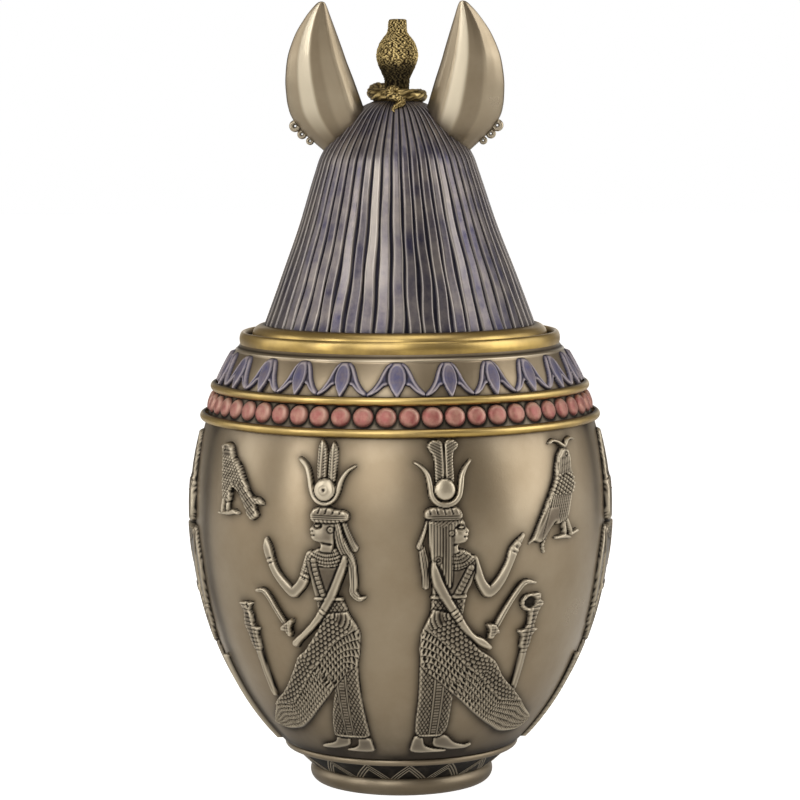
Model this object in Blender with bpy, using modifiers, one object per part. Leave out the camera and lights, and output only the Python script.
"""Canopic jar in cold-cast bronze, with a lift-off jackal-headed lid. Metres, +Z up.

The origin is the middle of the underside. The jackal looks along +Y, so the striped back of its headcloth and the
first pair of winged goddesses face -Y.
"""

import math

import bmesh
import bpy
from mathutils import Matrix, Vector

# Wall and belly of the jar
WALL = 0.0055
BELLY_RADIUS = 0.0768
BELLY_Z = 0.103
BELLY_BELOW = 0.1061
BELLY_ABOVE = 0.0966
FLOOR_Z = 0.020
TURNS = 32

# Foot
FOOT_RADIUS = 0.0342
FOOT_HEIGHT = 0.0078
FOOT_UPPER_ROUND = 0.0012
FOOT_LOWER_ROUND = 0.0026
FOOT_BAND_TOP_Z = 0.0128
FOOT_RING_SIZE = 0.0020
FOOT_RING_Z = FOOT_BAND_TOP_Z + FOOT_RING_SIZE
UNDERSIDE_RECESS = 0.0020
UNDERSIDE_RIM = 0.0072

# Rings, bead band and petal band
RING_SIZE = 0.0016
RING_PROUD = 0.0013
LOWER_RING_Z = 0.1380
BEAD_BAND_HEIGHT = 0.0109
UPPER_RING_Z = LOWER_RING_Z + BEAD_BAND_HEIGHT
PETAL_BAND_HEIGHT = 0.0147
LIP_Z = UPPER_RING_Z + PETAL_BAND_HEIGHT
BEADS = 54
BEAD_RADIUS = 0.0037
BEAD_PROUD = 0.0020
PETALS = 24
PETAL_PHASE = math.radians(2.7)
PETAL_PROUD = 0.0017
PETAL_TOP_GAP = 0.0010
PETAL_FOOT_GAP = 0.0006

# Rolled lip and the seat inside it
LIP_RADIUS = 0.0595
LIP_HEIGHT = 0.0054
LIP_THICKNESS = 0.0027
LIP_THROAT = 0.0012
SEAT_DEPTH = 0.0060
BORE_RADIUS = 0.0505
SEAT_Z = LIP_Z + LIP_HEIGHT - SEAT_DEPTH

# Lid
LID_GAP = 0.0003
SPIGOT_CLEARANCE = 0.0006
SPIGOT_DEPTH = 0.0075
COLLAR_CLEARANCE = 0.0021
COLLAR_HEIGHT = 0.0084
COLLAR_ROUND = 0.0022
LID_Z = SEAT_Z + LID_GAP
SPIGOT_RADIUS = BORE_RADIUS - SPIGOT_CLEARANCE
COLLAR_RADIUS = LIP_RADIUS - LIP_THICKNESS - COLLAR_CLEARANCE
HEADCLOTH_RADIUS = 0.0503
HEADCLOTH_HEIGHT = 0.0832
HEADCLOTH_LEAN = 0.0100
STRIPES = 54
STRIPE_DEPTH = 0.0009
HEADCLOTH_Z = LID_Z + COLLAR_HEIGHT
CROWN_Z = HEADCLOTH_Z + HEADCLOTH_HEIGHT

# Headcloth radii as shares of its foot radius, by share of its height
HEADCLOTH_SHAPE = [(0.0, 1.0), (0.22, 0.865), (0.44, 0.727), (0.66, 0.608), (0.76, 0.545), (0.865, 0.42),
                   (0.95, 0.285), (1.0, 0.10)]

# The throat lies back between the two front lappets, by a share of the headcloth's radius
FACE_HALF_ANGLE = math.radians(42.0)
FACE_RECESS = 0.08

# The jackal's head as (forward, up, half width, half height), in shares of the headcloth's height
SNOUT_SECTIONS = [(-0.08, 0.64, 0.27, 0.25), (0.14, 0.665, 0.272, 0.235), (0.26, 0.66, 0.240, 0.190),
                  (0.345, 0.615, 0.175, 0.150), (0.45, 0.545, 0.118, 0.112), (0.60, 0.495, 0.094, 0.088),
                  (0.72, 0.468, 0.080, 0.070), (0.765, 0.462, 0.048, 0.042)]

# One ear, with sections as (up, middle out, half width) in shares of its height
EAR_HEIGHT = 0.054
EAR_Z = CROWN_Z - 0.0189
EAR_LEAN = 0.020
EAR_THICKNESS = 0.0030
EAR_FRONT_SWELL = 0.0004
EAR_ROUNDNESS = 0.62
EAR_OUT = 0.0270
EAR_BACK = 0.0120
EAR_SECTIONS = [(-0.03, -0.19, 0.11), (0.05, -0.12, 0.18), (0.13, -0.05, 0.232), (0.22, -0.026, 0.244),
                (0.40, -0.015, 0.245), (0.55, -0.003, 0.215), (0.67, 0.002, 0.18), (0.81, -0.004, 0.128),
                (0.94, -0.03, 0.06), (1.0, -0.05, 0.015)]

# The rearing cobra on the crown, with sections as (up, back, half width, half depth) in shares of its height
COBRA_HEIGHT = 0.0285
COBRA_BACK = 0.0070
COBRA_SECTIONS = [(-0.12, 0.05, 0.155, 0.13), (0.16, 0.06, 0.155, 0.12), (0.34, 0.04, 0.215, 0.10),
                  (0.52, 0.0, 0.258, 0.09), (0.66, -0.02, 0.225, 0.09), (0.80, -0.02, 0.14, 0.09),
                  (0.92, -0.06, 0.110, 0.10), (1.0, -0.10, 0.085, 0.08)]
COBRA_COIL_RADIUS = 0.0085
COBRA_THICKNESS = 0.0024
COBRA_COIL_RISE = 0.0010

# The hollow under the lid stops short of the crown, and its cutter runs out below the spigot
CAVITY_TOP_SHARE = 0.86
CUT_CLEAR = 0.0010

# Relief figures, drawn flat and wrapped round the belly
RELIEF_FEET_Z = 0.0195
RELIEF_HEADROOM = 0.0006
RELIEF_TOP_Z = LOWER_RING_Z - RING_SIZE - RELIEF_HEADROOM
RELIEF_HEIGHT = RELIEF_TOP_Z - RELIEF_FEET_Z
RELIEF_ROOT = 0.0022
RELIEF_STEP_ROUND = 0.0200
RELIEF_STEP_UP = 0.0300
DRAWN_HEIGHT = 116.3
GOD_ANGLES = (math.radians(-79.0), math.radians(86.0))

# How far each sort of relief stands out from the belly
GARMENT_PROUD = 0.0016
BODY_PROUD = 0.0020
HEAD_PROUD = 0.0023
ARM_PROUD = 0.0028
ORNAMENT_PROUD = 0.0024

BRONZE = (0.30, 0.24, 0.165, 1.0)
BLUE_PEWTER = (0.17, 0.15, 0.19, 1.0)


def clear_scene():
    """Removes the objects of the start-up scene."""
    for obj in list(bpy.data.objects):
        bpy.data.objects.remove(obj)


def make_collection(name):
    """A new collection in the scene."""
    collection = bpy.data.collections.new(name)
    bpy.context.scene.collection.children.link(collection)
    return collection


def make_object(name, mesh, collection):
    """A new object with this mesh, in this collection."""
    obj = bpy.data.objects.new(name, mesh)
    collection.objects.link(obj)
    return obj


def move_to(obj, collection):
    """Takes an object out of the collection it was added to and puts it in this one."""
    for old in list(obj.users_collection):
        old.objects.unlink(obj)
    collection.objects.link(obj)
    return obj


def make_material(name, colour, roughness, metallic):
    """A plain Principled material."""
    material = bpy.data.materials.new(name)
    material.use_nodes = True
    shader = material.node_tree.nodes["Principled BSDF"]
    shader.inputs["Base Color"].default_value = colour
    shader.inputs["Roughness"].default_value = roughness
    shader.inputs["Metallic"].default_value = metallic
    material.diffuse_color = colour
    return material


def as_helper(obj):
    """Marks a shape that is only cut from or joined to another."""
    obj.hide_render = True
    obj.display_type = "WIRE"
    return obj


def turned(name, profile, collection):
    """A solid of revolution from (radius, height) points that run down its outer side."""
    mesh = bpy.data.meshes.new(name)
    edges = [(i, i + 1) for i in range(len(profile) - 1)]
    mesh.from_pydata([(radius, 0.0, height) for radius, height in profile], edges, [])
    obj = make_object(name, mesh, collection)
    screw = obj.modifiers.new("Turn", "SCREW")
    screw.axis = "Z"
    screw.steps = TURNS
    screw.render_steps = TURNS
    screw.use_merge_vertices = True
    screw.merge_threshold = 0.00001
    screw.use_normal_calculate = False
    return obj


def half_round(radius, height, size, proud, steps=3):
    """Profile points of a ring that bulges out from the wall, top to bottom."""
    middle = radius + proud - size
    points = []
    for step in range(steps + 1):
        angle = math.radians(75.0 - 150.0 * step / steps)
        points.append((middle + size * math.cos(angle), height + size * math.sin(angle)))
    return points


def loft(name, rings, collection):
    """A closed solid through rings of points, each ring with as many points as the next, with flat ends."""
    model = bmesh.new()
    rows = [[model.verts.new(point) for point in ring] for ring in rings]
    count = len(rows[0])
    for lower, upper in zip(rows, rows[1:]):
        for i in range(count):
            j = (i + 1) % count
            model.faces.new((lower[i], lower[j], upper[j], upper[i]))
    model.faces.new(rows[0])
    model.faces.new(rows[-1])
    bmesh.ops.recalc_face_normals(model, faces=model.faces)
    mesh = bpy.data.meshes.new(name)
    model.to_mesh(mesh)
    model.free()
    return make_object(name, mesh, collection)


def smooth_step(value):
    """0 below 0, 1 above 1, and an even curve between."""
    value = min(max(value, 0.0), 1.0)
    return value * value * (3.0 - 2.0 * value)


def curve_through(points, value):
    """A smooth curve through (input, output) points, read at value."""
    value = min(max(value, points[0][0]), points[-1][0])
    i = 0
    while i < len(points) - 2 and value > points[i + 1][0]:
        i += 1
    before = points[max(i - 1, 0)]
    start = points[i]
    end = points[i + 1]
    after = points[min(i + 2, len(points) - 1)]
    width = end[0] - start[0]
    share = (value - start[0]) / width
    slope_start = (end[1] - before[1]) / (end[0] - before[0]) * width
    slope_end = (after[1] - start[1]) / (after[0] - start[0]) * width
    square = share * share
    cube = square * share
    return (
        (2 * cube - 3 * square + 1) * start[1]
        + (cube - 2 * square + share) * slope_start
        + (3 * square - 2 * cube) * end[1]
        + (cube - square) * slope_end
    )


def belly_radius(height):
    """Outer radius of the egg-shaped belly at this height."""
    half = BELLY_BELOW if height < BELLY_Z else BELLY_ABOVE
    share = (height - BELLY_Z) / half
    return BELLY_RADIUS * math.sqrt(max(1.0 - share * share, 0.01))


def jar_profile():
    """The jar's section, from the middle of the floor up the inside, over the lip, down the outside and under."""
    floor = [(0.0, FLOOR_Z), (0.55 * belly_radius(FLOOR_Z), FLOOR_Z)]
    shoulder_z = SEAT_Z - WALL
    inside_top_z = shoulder_z - 0.5 * WALL
    inside_steps = 4
    inside_bottom_z = FLOOR_Z + WALL
    inside = []
    for step in range(inside_steps + 1):
        height = inside_bottom_z + (inside_top_z - inside_bottom_z) * step / inside_steps
        inside.append((belly_radius(height) - WALL, height))
    bore = [(BORE_RADIUS, shoulder_z), (BORE_RADIUS, SEAT_Z)]
    lip_inner = LIP_RADIUS - LIP_THICKNESS
    lip = [
        (lip_inner, SEAT_Z),
        (lip_inner, LIP_Z + 0.7 * LIP_HEIGHT),
        (lip_inner + 0.45 * LIP_THICKNESS, LIP_Z + LIP_HEIGHT),
        (LIP_RADIUS - 0.25 * LIP_THICKNESS, LIP_Z + 0.85 * LIP_HEIGHT),
        (LIP_RADIUS, LIP_Z + 0.4 * LIP_HEIGHT),
        (LIP_RADIUS - 0.1 * LIP_THICKNESS, LIP_Z),
    ]
    petal_band = [
        (belly_radius(height), height)
        for height in (LIP_Z - LIP_THROAT, 0.5 * (LIP_Z + UPPER_RING_Z))
    ]
    upper_ring = half_round(belly_radius(UPPER_RING_Z) + RING_SIZE, UPPER_RING_Z, RING_SIZE, RING_PROUD)
    lower_ring = half_round(belly_radius(LOWER_RING_Z) + RING_SIZE, LOWER_RING_Z, RING_SIZE, RING_PROUD)
    belly_steps = 6
    belly_top_z = LOWER_RING_Z - 1.2 * RING_SIZE
    belly_bottom_z = FOOT_RING_Z + FOOT_RING_SIZE
    belly = []
    for step in range(belly_steps + 1):
        angle = math.pi * step / belly_steps
        height = 0.5 * (belly_top_z + belly_bottom_z) + 0.5 * (belly_top_z - belly_bottom_z) * math.cos(angle)
        belly.append((belly_radius(height), height))
    foot_ring_radius = belly_radius(FOOT_RING_Z)
    foot_ring = half_round(foot_ring_radius, FOOT_RING_Z, FOOT_RING_SIZE, 0.4 * FOOT_RING_SIZE, steps=2)
    foot = [
        (foot_ring_radius - 0.6 * FOOT_RING_SIZE, FOOT_BAND_TOP_Z),
        (FOOT_RADIUS - FOOT_UPPER_ROUND, FOOT_HEIGHT),
        (FOOT_RADIUS, 0.5 * FOOT_HEIGHT),
        (FOOT_RADIUS - FOOT_LOWER_ROUND, 0.0),
        (FOOT_RADIUS - UNDERSIDE_RIM, 0.0),
        (FOOT_RADIUS - UNDERSIDE_RIM - UNDERSIDE_RECESS, UNDERSIDE_RECESS),
        (0.0, UNDERSIDE_RECESS),
    ]
    return floor + inside + bore + lip + petal_band + upper_ring + lower_ring + belly + foot_ring + foot


def outline_slab(name, outline, depth, collection):
    """A flat slab from a closed outline of (x, y) points, filled and extruded both ways along Z."""
    curve = bpy.data.curves.new(name, "CURVE")
    curve.dimensions = "2D"
    curve.fill_mode = "BOTH"
    curve.extrude = 0.5 * depth
    spline = curve.splines.new("POLY")
    spline.points.add(len(outline) - 1)
    for point, (x, y) in zip(spline.points, outline):
        point.co = (x, y, 0.0, 1.0)
    spline.use_cyclic_u = True
    guide = make_object(name + "_outline", curve, collection)
    bpy.context.view_layer.update()
    graph = bpy.context.evaluated_depsgraph_get()
    mesh = bpy.data.meshes.new_from_object(guide.evaluated_get(graph))
    bpy.data.objects.remove(guide)
    return make_object(name, mesh, collection)


def cut_at_steps(model, axis, step):
    """Cuts a mesh across at every whole multiple of step along one axis, and keeps both sides."""
    places = [vert.co[axis] for vert in model.verts]
    normal = Vector((0.0, 0.0, 0.0))
    normal[axis] = 1.0
    first = math.ceil(min(places) / step + 0.2)
    last = math.floor(max(places) / step - 0.2)
    for index in range(first, last + 1):
        geometry = model.verts[:] + model.edges[:] + model.faces[:]
        bmesh.ops.bisect_plane(model, geom=geometry, plane_co=normal * (index * step), plane_no=normal)


def wrapped_slab(name, outline, proud, collection, angle=0.0):
    """A slab whose outline lies on the belly: x runs round it, y up it, and it stands proud of the wall."""
    slab = outline_slab(name, outline, proud + RELIEF_ROOT, collection)
    model = bmesh.new()
    model.from_mesh(slab.data)
    bmesh.ops.remove_doubles(model, verts=model.verts, dist=0.00001)
    if max(x for x, y in outline) - min(x for x, y in outline) > RELIEF_STEP_ROUND:
        cut_at_steps(model, 0, RELIEF_STEP_ROUND)
    cut_at_steps(model, 1, RELIEF_STEP_UP)
    for vert in model.verts:
        height = vert.co.y
        standing = proud if vert.co.z > 0.0 else -RELIEF_ROOT
        turn = angle + vert.co.x / BELLY_RADIUS
        radius = belly_radius(height) + standing
        vert.co = (radius * math.sin(turn), -radius * math.cos(turn), height)
    bmesh.ops.triangulate(model, faces=[face for face in model.faces if len(face.verts) > 4])
    bmesh.ops.recalc_face_normals(model, faces=model.faces)
    model.to_mesh(slab.data)
    model.free()
    as_helper(slab)


def strip(path):
    """The outline of a strip that follows (x, y, width) points."""
    left = []
    right = []
    for i, (x, y, width) in enumerate(path):
        before = path[max(i - 1, 0)]
        after = path[min(i + 1, len(path) - 1)]
        along = Vector((after[0] - before[0], after[1] - before[1])).normalized()
        left.append((x - 0.5 * width * along.y, y + 0.5 * width * along.x))
        right.append((x + 0.5 * width * along.y, y - 0.5 * width * along.x))
    return left + right[::-1]


def disc(x, y, radius, sides=7):
    """The outline of a round boss."""
    turns = [2.0 * math.pi * i / sides for i in range(sides)]
    return [(x + radius * math.cos(turn), y + radius * math.sin(turn)) for turn in turns]


# The figures are drawn DRAWN_HEIGHT units tall, with x out from the middle of the pair and y up from its feet.
GODDESS_BODY = [(15, 93), (26.6, 93), (27.6, 88.6), (29.7, 84.2), (28.6, 79), (31.2, 77), (37.4, 64.4),
                (45, 76), (46, 80), (51, 82.6), (48, 73.4), (41.2, 61.6), (37, 60), (31.2, 67), (29, 62.5),
                (27.4, 24), (28.6, 7.4), (34, 4), (45.6, 3.2), (31.3, 0), (9.4, 0), (12, 7.6), (12.6, 24),
                (12.3, 45), (16.3, 62.5), (13, 74), (11, 79)]
GODDESS_CROWN = [(10.4, 109.6), (14.7, 104), (14.7, 98), (17.6, 92.4), (24.4, 92.4), (27.5, 98), (27.5, 104),
                 (31.4, 109.6), (25.4, 103), (24.6, 110.5), (26.6, 115.6), (15.4, 115.6), (17.5, 110.5), (16.7, 103)]
WING = [(17, 60), (27.6, 54), (38, 41.5), (48, 30.5), (60, 21.5), (74, 14.6), (81, 10.5), (75, 6.2), (58, 8),
        (38, 16.6), (20, 31.2), (13.4, 38)]
NEAR_ARM = [(17, 71.5, 4.2), (21.4, 60.5, 4), (29.5, 49.4, 3.4), (39.6, 41.6, 3)]
SWORD = [(38.4, 44.2, 2), (40.6, 48.6, 6), (41.7, 50, 2.5), (51, 64.2, 2.2), (57.2, 64, 0.9)]
DISC_MIDDLE = (21, 99.4)
DISC_RADIUS = 3.8
FLOWER_STAFF = [(54.8, 21), (55.2, 40), (51.4, 46.8), (56, 49), (51, 57), (53, 60.3), (60.8, 60.2), (62.9, 56.4),
                (59, 49), (62, 46.6), (58.2, 40), (57.8, 20)]
BAR_STAFF = [(54.8, 21), (55.2, 38), (52.8, 47), (57, 52), (54, 56.6), (63.4, 55.8), (60.6, 51.6), (61.4, 47),
             (59, 38), (57.4, 20)]
CROWNED_BIRD = [(74.6, 112), (76.8, 106), (77, 98.5), (74.6, 90), (75.4, 80), (67, 79), (69.6, 85), (65.6, 87.4),
                (53.2, 77), (58, 85.5), (68.2, 104.5), (71.4, 112)]
FALCON = [(74.2, 111), (68.2, 112.8), (61, 106), (52.6, 95.2), (46.3, 90.8), (48, 86.4), (51.6, 85.7),
          (57, 91.4), (62.6, 93.2), (62, 87), (69, 87), (70.4, 102)]

# The two gods at the sides, drawn round their own middle
GOD_BODY = [(-5.2, 96), (-6, 79), (-9.6, 78), (-9.6, 72), (-6, 61), (-7.6, 45), (-6, 34.5), (8, 33.5), (12.4, 36),
            (6.4, 61), (9.8, 74), (8.4, 80), (2.6, 82), (6.2, 89), (4.4, 94)]
GOD_CROWN = [(-5.6, 95), (4.6, 93), (4.6, 100), (1, 114), (-1, 114), (-4.6, 103)]
GOD_LEGS = [(-6, 36), (9.6, 36), (8.5, 5), (17.4, 1.6), (17.4, 0), (3.6, 0), (3, 30), (0.4, 30), (-1.6, 5),
            (2.6, 0), (-7.4, 0), (-6.4, 20)]
GOD_BACK_ARM = [(-8.6, 78, 4), (-11, 66, 3.8), (-9.6, 46, 3.4)]
GOD_FRONT_ARM = [(8, 78, 4), (10.4, 66, 3.8), (19.6, 60, 3.4)]
GOD_SCEPTRE = [(19, 0, 1.7), (19, 85, 1.7), (18.6, 89, 4.2)]


GODDESS_PARTS = [
    ("wing", WING, GARMENT_PROUD),
    ("body", GODDESS_BODY, BODY_PROUD),
    ("crown", GODDESS_CROWN, BODY_PROUD),
    ("disc", disc(*DISC_MIDDLE, DISC_RADIUS), ARM_PROUD),
    ("near_arm", strip(NEAR_ARM), ARM_PROUD),
    ("sword", strip(SWORD), ORNAMENT_PROUD),
]
PLAIN_GODDESS_PARTS = GODDESS_PARTS[:3]
CROWNED_PARTS = [("staff", FLOWER_STAFF, ORNAMENT_PROUD), ("bird", CROWNED_BIRD, ORNAMENT_PROUD)]
FALCON_PARTS = [("staff", BAR_STAFF, ORNAMENT_PROUD), ("bird", FALCON, ORNAMENT_PROUD)]
GOD_PARTS = [
    ("legs", GOD_LEGS, GARMENT_PROUD),
    ("body", GOD_BODY, HEAD_PROUD),
    ("crown", GOD_CROWN, BODY_PROUD),
    ("back_arm", strip(GOD_BACK_ARM), BODY_PROUD),
    ("front_arm", strip(GOD_FRONT_ARM), ARM_PROUD),
    ("sceptre", strip(GOD_SCEPTRE), ORNAMENT_PROUD),
]


def add_figure(name, parts, angle, facing, collection):
    """Wraps one figure's parts round the belly. facing is 1 or -1, and turns the drawing over."""
    scale = RELIEF_HEIGHT / DRAWN_HEIGHT
    for part_name, drawing, proud in parts:
        outline = [(facing * scale * x, RELIEF_FEET_Z + scale * y) for x, y in drawing]
        wrapped_slab(name + "_" + part_name, outline, proud, collection, angle)


def add_figures(collection):
    """The winged pairs behind and in front, the first with swords, staffs and birds, and a god at each side."""
    add_figure("back_right", GODDESS_PARTS + CROWNED_PARTS, 0.0, 1, collection)
    add_figure("back_left", GODDESS_PARTS + FALCON_PARTS, 0.0, -1, collection)
    add_figure("front_right", PLAIN_GODDESS_PARTS, math.pi, 1, collection)
    add_figure("front_left", PLAIN_GODDESS_PARTS, math.pi, -1, collection)
    for index, angle in enumerate(GOD_ANGLES):
        add_figure(f"god{index}", GOD_PARTS, angle, 1 if angle > 0 else -1, collection)


def add_beads(collection):
    """The row of studs between the two upper rings: low cones that lean with the wall."""
    height = 0.5 * (LOWER_RING_Z + UPPER_RING_Z)
    wall = belly_radius(height)
    lean = math.atan2(belly_radius(LOWER_RING_Z) - belly_radius(UPPER_RING_Z), BEAD_BAND_HEIGHT)
    depth = BEAD_PROUD + RELIEF_ROOT
    radius = BEAD_RADIUS * depth / BEAD_PROUD
    for index in range(BEADS):
        turn = 2.0 * math.pi * index / BEADS
        bpy.ops.mesh.primitive_cone_add(vertices=5, radius1=radius, radius2=0.0, depth=depth, end_fill_type="NGON")
        bead = bpy.context.active_object
        bead.name = f"bead_{index:02d}"
        place = Matrix.Rotation(turn, 4, "Z") @ Matrix.Translation((0.0, 0.5 * depth - BEAD_PROUD - wall, height))
        bead.matrix_world = place @ Matrix.Rotation(0.5 * math.pi - lean, 4, "X")
        as_helper(move_to(bead, collection))


def petal_outline():
    """One lotus petal with the tips that run out to its neighbours, hanging from below the lip."""
    pitch = 2.0 * math.pi * BELLY_RADIUS / PETALS
    top = LIP_Z - PETAL_TOP_GAP
    foot = UPPER_RING_Z + RING_SIZE + PETAL_FOOT_GAP
    rise = top - foot
    half = [
        (0.0, foot),
        (0.45 * pitch, foot + 0.22 * rise),
        (0.20 * pitch, foot + 0.94 * rise),
    ]
    mirrored = [(-x, y) for x, y in half[:0:-1]]
    return half + mirrored


def add_petals(collection):
    """The band of petals between the upper ring and the lip."""
    for index in range(PETALS):
        turn = PETAL_PHASE + 2.0 * math.pi * index / PETALS
        wrapped_slab(f"petal_{index:02d}", petal_outline(), PETAL_PROUD, collection, turn)


def join_all(obj, collection, operation="UNION"):
    """Adds the whole collection to the object, or cuts it away."""
    modifier = obj.modifiers.new(collection.name, "BOOLEAN")
    modifier.operation = operation
    modifier.operand_type = "COLLECTION"
    modifier.collection = collection
    modifier.solver = "EXACT"


def build_jar(parts, bronze):
    """The hollow vessel with its beads, petals and figures."""
    relief = make_collection("jar relief")
    jar = turned("jar", jar_profile(), parts)
    jar.data.materials.append(bronze)
    add_beads(relief)
    add_petals(relief)
    add_figures(relief)
    join_all(jar, relief)


def headcloth_middle(share):
    """How far the headcloth's middle lies behind the jar's axis, at a share of its height."""
    return -HEADCLOTH_LEAN * smooth_step((share - 0.1) / 0.65)


def headcloth_radius(share):
    """The headcloth's radius at a share of its height."""
    return HEADCLOTH_RADIUS * curve_through(HEADCLOTH_SHAPE, share)


def face_window(angle):
    """1 in front, where the throat lies back between the two lappets, and 0 round the sides and back."""
    away = abs(math.remainder(angle - 0.5 * math.pi, 2.0 * math.pi))
    return 1.0 - smooth_step((away - 0.8 * FACE_HALF_ANGLE) / (0.2 * FACE_HALF_ANGLE))


def headcloth_ring(share):
    """One ring of the headcloth: every second point lies in the groove between two stripes."""
    height = HEADCLOTH_Z + share * HEADCLOTH_HEIGHT
    radius = headcloth_radius(share)
    middle = headcloth_middle(share)
    points = []
    for index in range(2 * STRIPES):
        angle = 0.5 * math.pi + math.pi * index / STRIPES
        window = face_window(angle)
        groove = STRIPE_DEPTH * (index % 2) * (1.0 - window)
        reach = radius * (1.0 - FACE_RECESS * window * (1.0 - share)) - groove
        points.append((reach * math.cos(angle), middle + reach * math.sin(angle), height))
    return points


def add_headcloth(parts):
    """The striped bell of the headcloth."""
    shares = (-0.02, 0.28, 0.56, 0.78, 0.91, 1.0)
    rings = [headcloth_ring(share) for share in shares]
    return loft("jackal_head_lid", rings, parts)


def add_collar(collection):
    """The rounded collar that sits on the seat, with the spigot below it."""
    top = LID_Z + COLLAR_HEIGHT
    profile = [
        (0.0, top),
        (HEADCLOTH_RADIUS, top),
        (COLLAR_RADIUS - 0.5 * COLLAR_ROUND, top - 0.25 * COLLAR_ROUND),
        (COLLAR_RADIUS, top - COLLAR_ROUND),
        (COLLAR_RADIUS, LID_Z),
        (SPIGOT_RADIUS, LID_Z),
        (SPIGOT_RADIUS, LID_Z - SPIGOT_DEPTH),
        (0.0, LID_Z - SPIGOT_DEPTH),
    ]
    as_helper(turned("collar", profile, collection))


def oval(middle, across, up, half_across, half_up, sides):
    """A ring of points round an oval in the plane of two unit vectors."""
    points = []
    for index in range(sides):
        turn = 2.0 * math.pi * (index + 0.5) / sides
        points.append(middle + across * (half_across * math.cos(turn)) + up * (half_up * math.sin(turn)))
    return points


def add_face(collection):
    """The jackal's skull and long snout, coming out of the front of the headcloth."""
    rings = []
    for forward, up, half_width, half_height in SNOUT_SECTIONS:
        middle = Vector((0.0, forward * HEADCLOTH_HEIGHT, HEADCLOTH_Z + up * HEADCLOTH_HEIGHT))
        half_across = half_width * HEADCLOTH_HEIGHT
        half_up = half_height * HEADCLOTH_HEIGHT
        rings.append(oval(middle, Vector((1.0, 0.0, 0.0)), Vector((0.0, 0.0, 1.0)), half_across, half_up, 12))
    as_helper(loft("face", rings, collection))


def ear_section(side, up, out, half_width):
    """A crescent across the ear: round behind, hollow in front."""
    height = EAR_Z + up * EAR_HEIGHT
    middle_x = side * (EAR_OUT + out * EAR_HEIGHT)
    middle_y = -EAR_BACK - EAR_LEAN * up
    half = half_width * EAR_HEIGHT
    steps = 4
    back = []
    front = []
    for step in range(steps + 1):
        turn = math.pi * step / steps
        x = middle_x - side * half * math.cos(turn)
        bulge = EAR_ROUNDNESS * half * math.sin(turn)
        back.append((x, middle_y - bulge, height))
        hollow = max(bulge - EAR_THICKNESS, 0.0)
        front.append((x, middle_y - hollow + EAR_FRONT_SWELL, height))
    return back + front[-2:0:-1]


def add_ears(collection):
    """The two upright ears, hollow in front, leaning back over the headcloth."""
    for side, name in ((-1, "left_ear"), (1, "right_ear")):
        rings = [ear_section(side, *section) for section in EAR_SECTIONS]
        as_helper(loft(name, rings, collection))


def add_cobra(collection):
    """The cobra: a coil on the crown, the spread hood and the head."""
    rings = []
    for up, back, half_width, half_depth in COBRA_SECTIONS:
        middle = Vector((0.0, -COBRA_BACK - back * COBRA_HEIGHT, CROWN_Z + up * COBRA_HEIGHT))
        half_across = half_width * COBRA_HEIGHT
        rings.append(
            oval(middle, Vector((1.0, 0.0, 0.0)), Vector((0.0, 1.0, 0.0)), half_across, half_depth * COBRA_HEIGHT, 8)
        )
    as_helper(loft("cobra_hood", rings, collection))
    bpy.ops.mesh.primitive_torus_add(
        major_radius=COBRA_COIL_RADIUS,
        minor_radius=COBRA_THICKNESS,
        major_segments=14,
        minor_segments=6,
        location=(0.0, -COBRA_BACK - COBRA_COIL_RISE, CROWN_Z + COBRA_COIL_RISE),
    )
    coil = bpy.context.active_object
    coil.name = "cobra_coil"
    as_helper(move_to(coil, collection))


def flat_circle(radius, middle, height, sides=24):
    """A level ring of points round (0, middle)."""
    turns = [2.0 * math.pi * i / sides for i in range(sides)]
    return [(radius * math.cos(turn), middle + radius * math.sin(turn), height) for turn in turns]


def lid_cavity(collection):
    """The hollow under the lid, which follows the headcloth one wall inside it."""
    steps = 4
    bore = SPIGOT_RADIUS - WALL
    rings = [flat_circle(bore, 0.0, LID_Z - SPIGOT_DEPTH - CUT_CLEAR), flat_circle(bore, 0.0, LID_Z)]
    for step in range(steps + 1):
        share = CAVITY_TOP_SHARE * step / steps
        radius = headcloth_radius(share) * (1.0 - FACE_RECESS * (1.0 - share)) - WALL - STRIPE_DEPTH
        height = HEADCLOTH_Z + share * HEADCLOTH_HEIGHT - (WALL if step == steps else 0.0)
        rings.append(flat_circle(radius, headcloth_middle(share), height))
    as_helper(loft("lid_cavity", rings, collection))


def build_lid(parts, blue_pewter):
    """The hollow lid with the jackal's head, its ears and the cobra."""
    forms = make_collection("lid forms")
    hollows = make_collection("lid hollows")
    lid = add_headcloth(parts)
    lid.data.materials.append(blue_pewter)
    add_collar(forms)
    add_face(forms)
    add_ears(forms)
    add_cobra(forms)
    join_all(lid, forms)
    lid_cavity(hollows)
    join_all(lid, hollows, "DIFFERENCE")


def main():
    """Builds the jar and its lid."""
    clear_scene()
    parts = make_collection("canopic jar")
    bronze = make_material("antique bronze", BRONZE, roughness=0.38, metallic=0.9)
    blue_pewter = make_material("blue pewter", BLUE_PEWTER, roughness=0.42, metallic=0.9)
    build_jar(parts, bronze)
    build_lid(parts, blue_pewter)


main()
